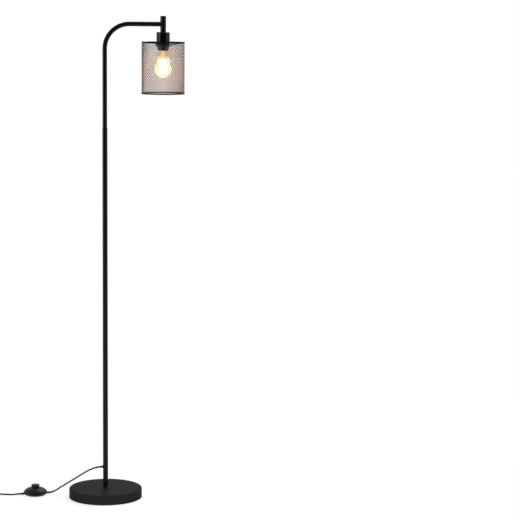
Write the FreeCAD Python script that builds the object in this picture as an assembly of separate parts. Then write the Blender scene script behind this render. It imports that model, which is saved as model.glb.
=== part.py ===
import FreeCAD, Part
import math
import os
from FreeCAD import Vector

os.makedirs("parts", exist_ok=True)

# Floor lamp with a hanging wire cage shade. Millimetres, +Z up, +X from the pole towards the shade.
# The origin is on the floor, on the axis of the pole.

# ---- Stand: base, pole and arm ----
base_diameter = 250.0
base_height = 34.0
cover_wall = 1.2
cover_edge_radius = 5.0
cover_rim_above_floor = 1.0
pad_thickness = 3.0
pad_inset = 3.0
weight_gap = 0.3
recess_diameter = 64.0
recess_depth = 13.0
base_washer_diameter = 30.0
base_washer_thickness = 1.6
nut_to_nipple_end = 1.0

pole_diameter = 17.5
pole_wall = 1.0
pole_section_length = 411.3
pole_end_chamfer = 0.4
pole_sections = ["pole_lower", "pole_middle", "pole_upper"]
insert_length = 24.0
stud_length = 14.0
foot_collar_diameter = 31.0
foot_collar_height = 4.0
foot_collar_lip = 1.2
foot_collar_edge = 1.0
foot_collar_hollow = 1.05

arm_diameter = 15.6
arm_wall = 1.0
arm_bend_radius = 83.0
arm_reach = 196.0
arm_below_top = 27.5
joint_collar_diameter = 19.2
joint_collar_height = 5.0
joint_seat_depth = 3.0
joint_collar_band = 1.0
joint_spigot_length = 20.0

# ---- Head: hanger, socket and cup ----
lamp_height = 1650.0
hanger_diameter = 19.7
hanger_wall = 1.2
hanger_length = 54.0
hanger_cap_thickness = 2.0
hanger_cap_radius = 1.5
hanger_cap_plug = 7.0
hanger_cap_groove_depth = 0.4
hanger_cap_groove_height = 0.4
hanger_insert_length = 12.0
hanger_wire_hole_radius = 5.5
nipple_in_socket = 16.0
nipple_end_gap = 1.0
cup_diameter = 45.2
cup_wall = 1.0
cup_height = 43.5
cup_edge_radius = 2.0
socket_body_diameter = 38.0
socket_neck_diameter = 26.0
socket_neck_height = 7.0
socket_shoulder_diameter = 42.4
socket_shoulder_height = 2.5
socket_thread_diameter = 39.2
socket_skirt_diameter = 37.6
socket_below_hub = 18.0
socket_thread_length = 9.5
socket_lip_height = 1.5
socket_cavity_depth = 27.5
socket_cavity_diameter = 29.0
screw_shell_wall = 0.8
contact_leaf_thickness = 0.5
contact_leaf_width = 6.0
contact_leaf_foot = 10.0
contact_leaf_bend = 6.0
contact_leaf_tip = 3.0
ring_nut_flange_diameter = 56.0
ring_nut_flange_thickness = 1.4
ring_nut_body_diameter = 43.0
ring_nut_height = 5.5

# ---- Shade ----
shade_diameter = 146.0
shade_height = 175.0
hub_below_shade_top = 11.0
hub_diameter = 58.0
hub_thickness = 1.3
spider_wire = 3.5
spider_arms = 3
spider_on_hub = 2.5
spider_wire_sunk = 1.0
rim_height = 4.3
rim_wall = 2.2
mesh_thickness = 0.8
mesh_inset = 0.8
mesh_columns = 24
mesh_rows = 5
mesh_strand = 1.8
mesh_selvedge = 1.0

# ---- Bulb ----
bulb_radius = 29.0
bulb_below_socket = 92.0
bulb_glass_wall = 0.9
bulb_neck_radius = 12.4
bulb_flare_degrees = 36.0
bulb_neck_in_cap = 11.0
bulb_hollow_sides = 18
bulb_hollow_rings = 7
bulb_hollow_neck_rings = 3
bulb_hollow_low_degrees = -72.0
bulb_cap_radius = 13.1
bulb_cap_wall = 0.4
bulb_cap_length = 19.0
bulb_cap_below_mouth = 0.5
bulb_cap_window = 6.0
bulb_insulator_height = 3.5
bulb_insulator_radius = 11.0
bulb_insulator_top_radius = 5.0
bulb_contact_radius = 4.5
bulb_contact_height = 1.8
bulb_stem_radius = 4.0
bulb_stem_length = 48.0
bulb_stem_flare = 5.0
bulb_stem_flange = 1.0
filament_pairs = 4
filament_radius = 1.1
filament_drop = 52.0
filament_top_spread = 8.5
filament_foot_spread = 14.0
filament_wire = 0.4
filament_sides = 8
filament_wire_sides = 4
filament_above_stem_end = 8.0
filament_wire_inset = 1.5
filament_turn_degrees = 22.5

# ---- Threads and fits ----
thread_diameter = 10.0
thread_bore = 7.4
nut_across_flats = 14.0
nut_height = 4.0
thread_clearance = 0.05
press_clearance = 0.05
hole_clearance = 0.25
slip_clearance = 0.15
cut_past = 1.0

# ---- Cord and its entry ----
cord_diameter = 5.4
lead_diameter = 4.4
lead_bend_radius = 6.6
head_bend_radius = 8.0
cord_exit_z = 106.0
grommet_flange_diameter = 12.0
grommet_neck_diameter = 8.4
grommet_flange_thickness = 1.5
grommet_inside = 1.0

# ---- Foot switch ----
switch_x = -241.5
switch_y = 42.0
switch_turn_degrees = 8.0
switch_radius = 41.5
switch_foot_radius = 30.0
switch_split_z = 9.7
switch_dome_z = 26.0
switch_under_bulge = 1.5
switch_dome_bulge = 4.4
switch_wall = 2.2
switch_cavity_radius = 30.0
switch_cavity_top_z = 17.5
switch_collar_radius = 16.0
switch_ledge_z = 20.5
switch_nose_radius = 3.6
switch_nose_reach = 42.6
switch_cord_z = 6.0
button_radius = 13.5
button_flare = 0.7
button_top_z = 38.0
button_crown = 1.0
button_edge_radius = 1.6
button_rim_height = 1.5
button_flange_width = 1.8
button_flange_height = 2.0
button_stop_gap = 0.3
button_wall = 2.2
button_gap = 0.3
button_travel = 3.5
spring_radius = 7.0
spring_wire = 1.2
contact_block_radius = 10.0
contact_block_top_z = 13.0
terminal_length = 11.0
terminal_width = 5.0
terminal_height = 5.0
terminal_gap = 1.5
terminal_lane = 4.5
switch_screw_circle = 24.0
switch_post_radius = 4.0
screw_shank_radius = 1.5
screw_head_radius = 3.0
screw_head_height = 1.6
screw_head_recess = 0.6
screw_length = 13.0
screw_end_gap = 0.5

# ---- Coil of spare cord, its tie and the plug ----
coil_x = -425.0
coil_y = 8.0
coil_radius = 42.0
coil_pitch = 5.9
coil_half_turns_per_layer = 7
coil_base_z = 3.7
coil_turnback_inset = 1.0
coil_sides = 6
coil_gap_samples = 900
free_cord_sides = 8
tie_width = 8.0
tie_thickness = 0.6
tie_gap = 0.3
boot_length = 22.0
boot_rear_radius = 3.7
boot_front_radius = 5.2
plug_width = 35.3
plug_thickness = 13.7
plug_straight = 15.0
plug_taper = 21.0
plug_rear_width = 12.0
plug_edge = 2.0
pin_radius = 2.0
pin_length = 19.0
pin_spacing = 18.6
pin_lean_degrees = 1.6

# ---- Places worked out from the sizes above ----
base_radius = base_diameter / 2
pole_radius = pole_diameter / 2
pole_bore_radius = pole_radius - pole_wall
arm_radius = arm_diameter / 2
arm_bore_radius = arm_radius - arm_wall
thread_radius = thread_diameter / 2
thread_bore_radius = thread_bore / 2
tapped_radius = thread_radius + thread_clearance
arm_axis_z = lamp_height - arm_below_top
hanger_bottom_z = lamp_height - hanger_length
cup_top_z = hanger_bottom_z
hub_top_z = cup_top_z - cup_height
shade_top_z = hub_top_z + hub_below_shade_top
shade_bottom_z = shade_top_z - shade_height
shade_radius = shade_diameter / 2
rim_inner_radius = shade_radius - rim_wall
socket_mouth_z = hub_top_z - socket_below_hub
socket_top_z = cup_top_z - cup_wall - nut_height
nipple_bottom_z = socket_top_z - nipple_in_socket
bulb_neck_top_z = socket_mouth_z + bulb_neck_in_cap
grommet_face_x = -(pole_radius + grommet_flange_thickness)
cord_radius = cord_diameter / 2
seam_z = [base_height + pole_section_length * k for k in range(len(pole_sections) + 1)]
pole_top_z = seam_z[-1]


def turned(outline, x=0.0, y=0.0):
    """A solid turned about a vertical axis. An entry is a point (r, z), or an arc as (through, end)."""
    edges = []
    first = Vector(outline[0][0], 0, outline[0][1])
    here = first
    for entry in outline[1:]:
        if isinstance(entry[0], tuple):
            through = Vector(entry[0][0], 0, entry[0][1])
            there = Vector(entry[1][0], 0, entry[1][1])
            edges.append(Part.Arc(here, through, there).toShape())
        else:
            there = Vector(entry[0], 0, entry[1])
            edges.append(Part.LineSegment(here, there).toShape())
        here = there
    edges.append(Part.LineSegment(here, first).toShape())
    solid = Part.Face(Part.Wire(edges)).revolve(Vector(0, 0, 0), Vector(0, 0, 1), 360)
    solid.translate(Vector(x, y, 0))
    return solid


def tube(outer, inner, z_low, z_high, x=0.0, y=0.0):
    return turned([(inner, z_low), (outer, z_low), (outer, z_high), (inner, z_high)], x, y)


def rounded_top_edge(radius, z, fillet):
    """The arc of an outer top edge, from the side at z - fillet to the top at radius - fillet."""
    slack = fillet * (1 - math.sqrt(0.5))
    return ((radius - slack, z - slack), (radius - fillet, z))


def bowed(start, end, bulge):
    """The arc from start to end that bows out by bulge, to the right of its way."""
    across = end[0] - start[0]
    up = end[1] - start[1]
    chord = math.hypot(across, up)
    through = (
        (start[0] + end[0]) / 2 + bulge * up / chord,
        (start[1] + end[1]) / 2 - bulge * across / chord,
    )
    return (through, end)


def straight_rod(start, end, radius, sides):
    """A rod of many sides between two points, with its corners on the given radius."""
    axis = end - start
    level = axis.cross(Vector(0, 0, 1)).normalize()
    upright = level.cross(axis).normalize()
    corners = []
    for k in range(sides):
        angle = 2 * math.pi * (k + 0.5) / sides
        corners.append(start + level * radius * math.cos(angle) + upright * radius * math.sin(angle))
    return Part.Face(Part.makePolygon(corners + corners[:1])).extrude(axis)


def hexagon_nut(x, z_low, z_high):
    corner = nut_across_flats / 2 / math.cos(math.pi / 6)
    points = [
        Vector(x + corner * math.cos(math.pi * k / 3), corner * math.sin(math.pi * k / 3), z_low)
        for k in range(6)
    ]
    prism = Part.Face(Part.makePolygon(points + points[:1])).extrude(Vector(0, 0, z_high - z_low))
    return prism.cut(tube(tapped_radius, 0.0, z_low - cut_past, z_high + cut_past, x))


def save(name, *solids):
    shape = solids[0] if len(solids) == 1 else Part.makeCompound(list(solids))
    shape.exportStep("parts/" + name + ".step")
    sound = shape.isValid() and all(shell.isClosed() for shell in shape.Shells)
    print(f"{name:24s} solids {len(shape.Solids)}  volume {shape.Volume:10.0f}  sound {sound}")


# ---- Base ----
def make_base_cover():
    rim_z = cover_rim_above_floor
    shoulder = cover_edge_radius
    inner = base_radius - cover_wall
    hole = thread_radius + hole_clearance
    return turned([
        (hole, base_height - cover_wall),
        (base_radius - shoulder, base_height - cover_wall),
        (inner, base_height - shoulder),
        (inner, rim_z),
        (base_radius, rim_z),
        (base_radius, base_height - shoulder),
        rounded_top_edge(base_radius, base_height, shoulder),
        (hole, base_height),
    ])


def make_base_weight():
    outer = base_radius - cover_wall - weight_gap
    top = base_height - cover_wall
    hole = thread_radius + hole_clearance
    return turned([
        (hole, recess_depth),
        (recess_diameter / 2, recess_depth),
        (recess_diameter / 2, pad_thickness),
        (outer, pad_thickness),
        (outer, top - cover_edge_radius),
        (outer - cover_edge_radius, top),
        (hole, top),
    ])


def make_base_pad():
    return tube(base_radius - cover_wall - pad_inset, 0.0, 0.0, pad_thickness)


def make_base_washer():
    return tube(
        base_washer_diameter / 2, thread_radius + hole_clearance,
        recess_depth - base_washer_thickness, recess_depth,
    )


def make_base_nut():
    top = recess_depth - base_washer_thickness
    return hexagon_nut(0.0, top - nut_height, top)


def make_base_nipple():
    bottom = recess_depth - base_washer_thickness - nut_height - nut_to_nipple_end
    return tube(thread_radius, thread_bore_radius, bottom, base_height + stud_length)


def make_foot_collar():
    bore = pole_radius + slip_clearance
    rim = foot_collar_diameter / 2
    top = base_height + foot_collar_height
    edge = (rim, base_height + foot_collar_edge)
    return turned([
        (bore, base_height),
        (rim, base_height),
        edge,
        bowed(edge, (bore + foot_collar_lip, top), -foot_collar_hollow),
        (bore, top),
    ])


# ---- Pole ----
def make_pole_sections():
    """Three tubes end to end; their chamfered ends leave a fine groove at each seam."""
    sections = []
    for low, high in zip(seam_z, seam_z[1:]):
        sections.append(turned([
            (pole_bore_radius, low),
            (pole_radius - pole_end_chamfer, low),
            (pole_radius, low + pole_end_chamfer),
            (pole_radius, high - pole_end_chamfer),
            (pole_radius - pole_end_chamfer, high),
            (pole_bore_radius, high),
        ]))
    hole = Part.makeCylinder(
        grommet_neck_diameter / 2 + press_clearance, pole_radius + cut_past,
        Vector(-pole_radius - cut_past, 0, cord_exit_z), Vector(1, 0, 0),
    )
    sections[0] = sections[0].cut(hole)
    return sections


def make_threaded_sleeves():
    outer = pole_bore_radius - press_clearance
    foot = tube(outer, tapped_radius, base_height, base_height + insert_length)
    tops = [tube(outer, tapped_radius, z - insert_length, z) for z in seam_z[1:]]
    return [foot] + tops


def make_threaded_studs():
    outer = pole_bore_radius - press_clearance
    return [
        turned([
            (thread_bore_radius, z - stud_length),
            (thread_radius, z - stud_length),
            (thread_radius, z),
            (outer, z),
            (outer, z + insert_length),
            (thread_bore_radius, z + insert_length),
        ])
        for z in seam_z[1:-1]
    ]


def make_joint_collar():
    top = pole_top_z + joint_collar_height
    seat = top - joint_seat_depth
    spigot = arm_bore_radius - press_clearance
    return turned([
        (thread_bore_radius, pole_top_z - stud_length),
        (thread_radius, pole_top_z - stud_length),
        (thread_radius, pole_top_z),
        (pole_radius, pole_top_z),
        (joint_collar_diameter / 2, top - joint_collar_band),
        (joint_collar_diameter / 2, top),
        (arm_radius + press_clearance, top),
        (arm_radius + press_clearance, seat),
        (spigot, seat),
        (spigot, seat + joint_spigot_length),
        (thread_bore_radius, seat + joint_spigot_length),
    ])


# ---- Arm: one bent tube, coped to the hanger ----
def make_arm_tube():
    low = pole_top_z + joint_collar_height - joint_seat_depth
    bend_start = Vector(0, 0, arm_axis_z - arm_bend_radius)
    bend_end = Vector(arm_bend_radius, 0, arm_axis_z)
    slack = arm_bend_radius * (1 - math.sqrt(0.5))
    path = Part.Wire([
        Part.LineSegment(Vector(0, 0, low), bend_start).toShape(),
        Part.Arc(bend_start, Vector(slack, 0, arm_axis_z - slack), bend_end).toShape(),
        Part.LineSegment(bend_end, Vector(arm_reach, 0, arm_axis_z)).toShape(),
    ])

    def swept(radius):
        ring = Part.Wire([Part.makeCircle(radius, Vector(0, 0, low), Vector(0, 0, 1))])
        return path.makePipeShell([ring], True, False)

    coping = Part.makeCylinder(
        hanger_diameter / 2, 2 * arm_diameter, Vector(arm_reach, 0, arm_axis_z - arm_diameter)
    )
    return swept(arm_radius).cut(swept(arm_bore_radius)).cut(coping)


# ---- Head ----
def make_hanger_tube():
    outer = hanger_diameter / 2
    top = lamp_height - hanger_cap_thickness
    body = tube(outer, outer - hanger_wall, hanger_bottom_z, top, arm_reach)
    wire_hole = Part.makeCylinder(
        hanger_wire_hole_radius, outer, Vector(arm_reach - outer - cut_past, 0, arm_axis_z), Vector(1, 0, 0)
    )
    return body.cut(wire_hole)


def make_hanger_cap():
    """A pressed-in cap with a soft top edge and a fine groove where it meets the tube."""
    outer = hanger_diameter / 2
    groove = outer - hanger_cap_groove_depth
    plug = outer - hanger_wall - press_clearance
    seat = lamp_height - hanger_cap_thickness
    return turned([
        (0.0, seat - hanger_cap_plug),
        (plug, seat - hanger_cap_plug),
        (plug, seat),
        (groove, seat),
        (groove, seat + hanger_cap_groove_height),
        (outer, seat + hanger_cap_groove_height),
        (outer, lamp_height - hanger_cap_radius),
        rounded_top_edge(outer, lamp_height, hanger_cap_radius),
        (0.0, lamp_height),
    ], arm_reach)


def make_hanger_insert():
    outer = hanger_diameter / 2 - hanger_wall - press_clearance
    top = hanger_bottom_z + hanger_insert_length
    return tube(outer, tapped_radius, hanger_bottom_z, top, arm_reach)


def make_head_nipple():
    top = hanger_bottom_z + hanger_insert_length - nipple_end_gap
    return tube(thread_radius, thread_bore_radius, nipple_bottom_z, top, arm_reach)


def make_cup_locknut():
    return hexagon_nut(arm_reach, socket_top_z, cup_top_z - cup_wall)


def make_socket_cup():
    outer = cup_diameter / 2
    hole = thread_radius + hole_clearance
    return turned([
        (hole, cup_top_z - cup_wall),
        (outer - cup_edge_radius, cup_top_z - cup_wall),
        (outer - cup_wall, cup_top_z - cup_edge_radius),
        (outer - cup_wall, hub_top_z),
        (outer, hub_top_z),
        (outer, cup_top_z - cup_edge_radius),
        rounded_top_edge(outer, cup_top_z, cup_edge_radius),
        (hole, cup_top_z),
    ], arm_reach)


def make_socket_body():
    body = socket_body_diameter / 2
    cavity_top = socket_mouth_z + socket_cavity_depth
    thread_bottom = hub_top_z - socket_thread_length
    return turned([
        (0.0, cavity_top),
        (socket_cavity_diameter / 2, cavity_top),
        (socket_cavity_diameter / 2, socket_mouth_z),
        (socket_thread_diameter / 2, socket_mouth_z),
        (socket_thread_diameter / 2, socket_mouth_z + socket_lip_height),
        (socket_skirt_diameter / 2, socket_mouth_z + socket_lip_height),
        (socket_skirt_diameter / 2, thread_bottom),
        (socket_thread_diameter / 2, thread_bottom),
        (socket_thread_diameter / 2, hub_top_z),
        (socket_shoulder_diameter / 2, hub_top_z),
        (socket_shoulder_diameter / 2, hub_top_z + socket_shoulder_height),
        (body, hub_top_z + socket_shoulder_height),
        (body, socket_top_z - socket_neck_height),
        (socket_neck_diameter / 2, socket_top_z),
        (tapped_radius, socket_top_z),
        (tapped_radius, nipple_bottom_z - nipple_end_gap),
        (0.0, nipple_bottom_z - nipple_end_gap),
    ], arm_reach)


def make_socket_screw_shell():
    outer = socket_cavity_diameter / 2 - press_clearance
    low = socket_mouth_z + socket_lip_height
    return tube(outer, outer - screw_shell_wall, low, socket_mouth_z + socket_cavity_depth, arm_reach)


def make_socket_contact():
    """A sprung leaf, riveted flat under the floor of the socket and bent down onto the bulb."""
    roof = socket_mouth_z + socket_cavity_depth
    touch = bulb_contact_top()
    thick = contact_leaf_thickness
    outline = [
        (-contact_leaf_foot, roof),
        (-contact_leaf_foot, roof - thick),
        (-contact_leaf_bend, roof - thick),
        (0.0, touch),
        (contact_leaf_tip, touch),
        (contact_leaf_tip, touch + thick),
        (thick, touch + thick),
        (thick - contact_leaf_bend, roof),
    ]
    points = [Vector(arm_reach + x, -contact_leaf_width / 2, z) for x, z in outline]
    return Part.Face(Part.makePolygon(points + points[:1])).extrude(Vector(0, contact_leaf_width, 0))


def make_shade_ring_nut():
    bore = socket_thread_diameter / 2 + slip_clearance
    top = hub_top_z - hub_thickness
    return turned([
        (bore, top - ring_nut_height),
        (ring_nut_body_diameter / 2, top - ring_nut_height),
        (ring_nut_body_diameter / 2, top - ring_nut_flange_thickness),
        (ring_nut_flange_diameter / 2, top - ring_nut_flange_thickness),
        (ring_nut_flange_diameter / 2, top),
        (bore, top),
    ], arm_reach)


# ---- Shade: spider, rims and the diamond mesh ----
def make_shade_spider():
    """A flat hub ring with wires that rise to the top rim and are welded to it."""
    hub_hole = socket_thread_diameter / 2 + hole_clearance
    hub = tube(hub_diameter / 2, hub_hole, hub_top_z - hub_thickness, hub_top_z)
    start = Vector(hub_diameter / 2 - spider_on_hub, 0, hub_top_z + spider_wire / 2 - spider_wire_sunk)
    end = Vector(rim_inner_radius, 0, shade_top_z - rim_height / 2)
    wire = Part.makeCylinder(spider_wire / 2, (end - start).Length + rim_wall, start, end - start)
    wire = wire.common(tube(rim_inner_radius, 0.0, hub_top_z - hub_thickness, shade_top_z))
    spider = hub
    for k in range(spider_arms):
        turned_wire = wire.copy()
        turned_wire.rotate(Vector(0, 0, 0), Vector(0, 0, 1), 360.0 * k / spider_arms)
        spider = spider.fuse(turned_wire)
    spider.translate(Vector(arm_reach, 0, 0))
    return spider.removeSplitter()


def make_rims():
    return [
        tube(shade_radius, rim_inner_radius, low, low + rim_height, arm_reach)
        for low in (shade_top_z - rim_height, shade_bottom_z)
    ]


def make_shade_mesh():
    """Expanded metal rolled into a drum: rows of diamonds, each row half a diamond on from the last.

    The drum is flat between its columns, and a plain selvedge runs along both of its edges.
    """
    radius = shade_radius - mesh_inset
    low = shade_bottom_z + rim_height
    high = shade_top_z - rim_height
    step = 2 * math.pi / mesh_columns
    flat_radius = radius * math.cos(step / 2)

    def drum(across, z_low, z_high):
        corner = across / math.cos(step / 2)
        points = [
            Vector(corner * math.cos(step * k), corner * math.sin(step * k), z_low)
            for k in range(mesh_columns)
        ]
        return Part.Face(Part.makePolygon(points + points[:1])).extrude(Vector(0, 0, z_high - z_low))

    inside = drum(flat_radius - mesh_thickness, low - cut_past, high + cut_past)
    wall = drum(flat_radius, low, high).cut(inside)
    first = low + mesh_selvedge
    half_column = math.pi * radius / mesh_columns
    half_row_height = (high - low - 2 * mesh_selvedge) / mesh_rows / 2
    slant = math.hypot(half_column, half_row_height)
    half_width = half_column - mesh_strand / 2 * slant / half_row_height
    half_height = half_row_height - mesh_strand / 2 * slant / half_column
    cut_depth = half_column
    openings = []
    for column in range(2 * mesh_columns):
        angle = step * column / 2
        out = Vector(math.cos(angle), math.sin(angle), 0)
        along = Vector(-math.sin(angle), math.cos(angle), 0)
        for half_row in range(column % 2, 2 * mesh_rows + 1, 2):
            centre = out * (flat_radius - cut_depth) + Vector(0, 0, first + half_row_height * half_row)
            top = centre + Vector(0, 0, half_height)
            bottom = centre - Vector(0, 0, half_height)
            corners = [centre - along * half_width, centre + along * half_width]
            if half_row == 0:
                points = [corners[0], corners[1], top]
            elif half_row == 2 * mesh_rows:
                points = [corners[0], corners[1], bottom]
            else:
                points = [corners[0], bottom, corners[1], top]
            face = Part.Face(Part.makePolygon(points + points[:1]))
            openings.append(face.extrude(out * 2 * cut_depth))
    mesh = wall.cut(openings)
    mesh.rotate(Vector(0, 0, 0), Vector(0, 0, 1), 180.0 / mesh_columns)
    mesh.translate(Vector(arm_reach, 0, 0))
    print("mesh openings", len(openings))
    return mesh


# ---- Bulb ----
def bulb_contact_top():
    return socket_mouth_z + bulb_cap_length + bulb_insulator_height + bulb_contact_height


def bulb_flare_swing():
    """The radius of the hollow curve that leads from the round end to the neck, tangent to both."""
    flare = math.radians(bulb_flare_degrees)
    return (bulb_radius * math.cos(flare) - bulb_neck_radius) / (1 - math.cos(flare))


def bulb_outline():
    """The glass outline: a round end, then the hollow curve up to the neck."""
    flare = math.radians(bulb_flare_degrees)
    centre = socket_mouth_z - bulb_below_socket + bulb_radius
    swing = bulb_flare_swing()
    start = (bulb_radius * math.cos(flare), centre + bulb_radius * math.sin(flare))
    middle = (
        bulb_neck_radius + swing * (1 - math.cos(flare / 2)),
        start[1] + swing * (math.sin(flare) - math.sin(flare / 2)),
    )
    end = (bulb_neck_radius, start[1] + swing * math.sin(flare))
    return [(0.0, centre - bulb_radius), ((bulb_radius, centre), start), (middle, end)]


def bulb_hollow_stations():
    """The rings of the hollow, as (radius, height): up the round end, then up the hollow curve."""
    flare = math.radians(bulb_flare_degrees)
    low = math.radians(bulb_hollow_low_degrees)
    centre = socket_mouth_z - bulb_below_socket + bulb_radius
    swing = bulb_flare_swing()
    stations = []
    for k in range(bulb_hollow_rings):
        angle = low + (flare - low) * k / (bulb_hollow_rings - 1)
        stations.append((bulb_radius * math.cos(angle), centre + bulb_radius * math.sin(angle)))
    flare_top = stations[-1][1] + swing * math.sin(flare)
    for k in range(1, bulb_hollow_neck_rings + 1):
        angle = flare * (1 - k / bulb_hollow_neck_rings)
        radius = bulb_neck_radius + swing * (1 - math.cos(angle))
        stations.append((radius, flare_top - swing * math.sin(angle)))
    return stations


def make_bulb_glass():
    """Smooth outside; the hollow inside is a ruled form of many sides that follows it."""
    top = bulb_neck_top_z
    outer = turned([*bulb_outline(), (bulb_neck_radius, top), (0.0, top)], arm_reach)
    rings = []
    for radius, height in bulb_hollow_stations() + [(bulb_neck_radius, top + cut_past)]:
        corner = radius - bulb_glass_wall
        points = [
            Vector(
                arm_reach + corner * math.cos(2 * math.pi * k / bulb_hollow_sides),
                corner * math.sin(2 * math.pi * k / bulb_hollow_sides),
                height,
            )
            for k in range(bulb_hollow_sides)
        ]
        rings.append(Part.makePolygon(points + points[:1]))
    return outer.cut(Part.makeLoft(rings, True, True))


def make_bulb_cap():
    low = socket_mouth_z - bulb_cap_below_mouth
    top = socket_mouth_z + bulb_cap_length
    return turned([
        (bulb_cap_radius - bulb_cap_wall, low),
        (bulb_cap_radius, low),
        (bulb_cap_radius, top),
        (bulb_cap_window, top),
        (bulb_cap_window, top - bulb_cap_wall),
        (bulb_cap_radius - bulb_cap_wall, top - bulb_cap_wall),
    ], arm_reach)


def make_bulb_contact():
    """The dark glass insulator and the metal button on it."""
    low = socket_mouth_z + bulb_cap_length
    middle = low + bulb_insulator_height
    top = bulb_contact_top()
    insulator = turned([
        (0.0, low),
        (bulb_insulator_radius, low),
        (bulb_insulator_top_radius, middle),
        (0.0, middle),
    ], arm_reach)
    return insulator, tube(bulb_contact_radius, 0.0, middle, top, arm_reach)


def make_bulb_stem():
    top = bulb_neck_top_z
    flats = math.cos(math.pi / bulb_hollow_sides)
    flange = (bulb_neck_radius - bulb_glass_wall) * flats - press_clearance
    return turned([
        (0.0, top - bulb_stem_length),
        (bulb_stem_radius, top - bulb_stem_length),
        (bulb_stem_radius, top - bulb_stem_flare),
        (flange, top - bulb_stem_flange),
        (flange, top),
        (0.0, top),
    ], arm_reach)


def make_bulb_filaments():
    """Sticks that spread downwards round the stem, in pairs.

    A wire from the stem's side holds the top of each stick, and a wire joins the feet of a pair.
    """
    high = bulb_neck_top_z - bulb_stem_length + filament_above_stem_end
    pairs = []
    for pair in range(filament_pairs):
        rods = []
        feet = []
        for k in (2 * pair, 2 * pair + 1):
            angle = math.radians(filament_turn_degrees + 180.0 * k / filament_pairs)
            out = Vector(math.cos(angle), math.sin(angle), 0)
            top = Vector(arm_reach, 0, high) + out * filament_top_spread
            foot = Vector(arm_reach, 0, high - filament_drop) + out * filament_foot_spread
            inset = (foot - top).normalize() * filament_wire_inset
            held = top + inset
            stem_side = Vector(arm_reach, 0, held.z) + out * bulb_stem_radius
            rods.append(straight_rod(top, foot, filament_radius, filament_sides))
            rods.append(straight_rod(stem_side, held, filament_wire, filament_wire_sides))
            feet.append(foot - inset)
        rods.append(straight_rod(feet[0], feet[1], filament_wire, filament_wire_sides))
        pairs.append(rods[0].multiFuse(rods[1:]))
    return pairs


# ---- Cords ----
def rounded_path(points, radii):
    """Straight runs joined by tangent arcs of the given radii, one for each inner point."""
    edges = []
    here = points[0]
    for before, at, after, radius in zip(points, points[1:], points[2:], radii):
        into = (at - before).normalize()
        out = (after - at).normalize()
        half_turn = into.getAngle(out) / 2
        reach = radius * math.tan(half_turn)
        start = at - into * reach
        end = at + out * reach
        towards = (out - into).normalize()
        through = at + towards * (radius / math.cos(half_turn) - radius)
        edges.append(Part.LineSegment(here, start).toShape())
        edges.append(Part.Arc(start, through, end).toShape())
        here = end
    edges.append(Part.LineSegment(here, points[-1]).toShape())
    return Part.Wire(edges)


def free_radii(points):
    """Each bend as large as its two runs allow."""
    radii = []
    for before, at, after in zip(points, points[1:], points[2:]):
        shorter = min((at - before).Length, (after - at).Length)
        half_turn = (at - before).getAngle(after - at) / 2
        radii.append(0.45 * shorter / math.tan(half_turn))
    return radii


def many_sided_tube(name, path, radius, sides):
    """A tube whose section is a regular polygon with its corners on the given radius."""
    start = path.OrderedVertexes[0].Point
    heading = path.OrderedEdges[0].tangentAt(path.OrderedEdges[0].FirstParameter)
    level = Vector(-heading.y, heading.x, 0).normalize()
    upright = heading.cross(level)
    corners = []
    for k in range(sides):
        angle = 2 * math.pi * (k + 0.5) / sides
        corners.append(start + level * radius * math.cos(angle) + upright * radius * math.sin(angle))
    solid = path.makePipeShell([Part.makePolygon(corners + corners[:1])], True, False)
    area = sides / 2 * radius ** 2 * math.sin(2 * math.pi / sides)
    share = solid.Volume / area / path.Length
    print(f"{name}: length {path.Length:.0f}, volume over section times length {share:.4f}")
    return solid


def free_cord(name, points):
    radii = free_radii(points)
    print(name, "radii", [round(r) for r in radii])
    return many_sided_tube(name, rounded_path(points, radii), cord_radius, free_cord_sides)


def on_switch(x, y, z):
    """A point given in the switch's own frame."""
    turn = math.radians(switch_turn_degrees)
    return Vector(
        switch_x + x * math.cos(turn) - y * math.sin(turn),
        switch_y + x * math.sin(turn) + y * math.cos(turn),
        z,
    )


def make_cord_lead():
    """From the pole down to the foot switch."""
    return free_cord("cord_lead", [
        Vector(grommet_face_x, 0, cord_exit_z),
        Vector(-28, 0, cord_exit_z),
        Vector(-60, 5, 91),
        Vector(-97, 20.5, 62),
        Vector(-132, 37, 38.5),
        Vector(-156, 47, 24),
        Vector(-172, 51, 12),
        on_switch(switch_nose_reach + 13, 0, switch_cord_z),
        on_switch(switch_nose_reach, 0, switch_cord_z),
    ])


def make_cord_run():
    """From the foot switch along the floor to the coil."""
    return free_cord("cord_run", [
        on_switch(-switch_nose_reach, 0, switch_cord_z),
        on_switch(-switch_nose_reach - 16, 0, switch_cord_z),
        Vector(-323, 37, 2.9),
        Vector(-354, 46, 2.9),
        Vector(-392, coil_y + coil_radius, coil_base_z),
        Vector(coil_x + cord_diameter, coil_y + coil_radius, coil_base_z),
    ])


def coil_points():
    """Where the turns cross the coil's Y axis: in on the lower layer, out again on the upper one."""
    inwards = [coil_radius - coil_pitch / 2 * k for k in range(coil_half_turns_per_layer + 1)]
    inwards[-1] -= coil_turnback_inset
    outwards = inwards[:0:-1]
    crossings = [(r, coil_base_z) for r in inwards] + [(r, coil_base_z + coil_pitch) for r in outwards]
    return [
        Vector(coil_x, coil_y + r * (-1) ** k, z) for k, (r, z) in enumerate(crossings)
    ]


def coil_path():
    points = coil_points()
    edges = [Part.LineSegment(points[0] + Vector(cord_diameter, 0, 0), points[0]).toShape()]
    for k, (here, there) in enumerate(zip(points, points[1:])):
        middle = (here + there) * 0.5
        bulge = Vector((here - there).Length / 2 * (-1 if k % 2 == 0 else 1), 0, 0)
        edges.append(Part.Arc(here, middle + bulge, there).toShape())
    edges.append(Part.LineSegment(points[-1], points[-1] - Vector(cord_diameter, 0, 0)).toShape())
    return Part.Wire(edges)


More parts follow.
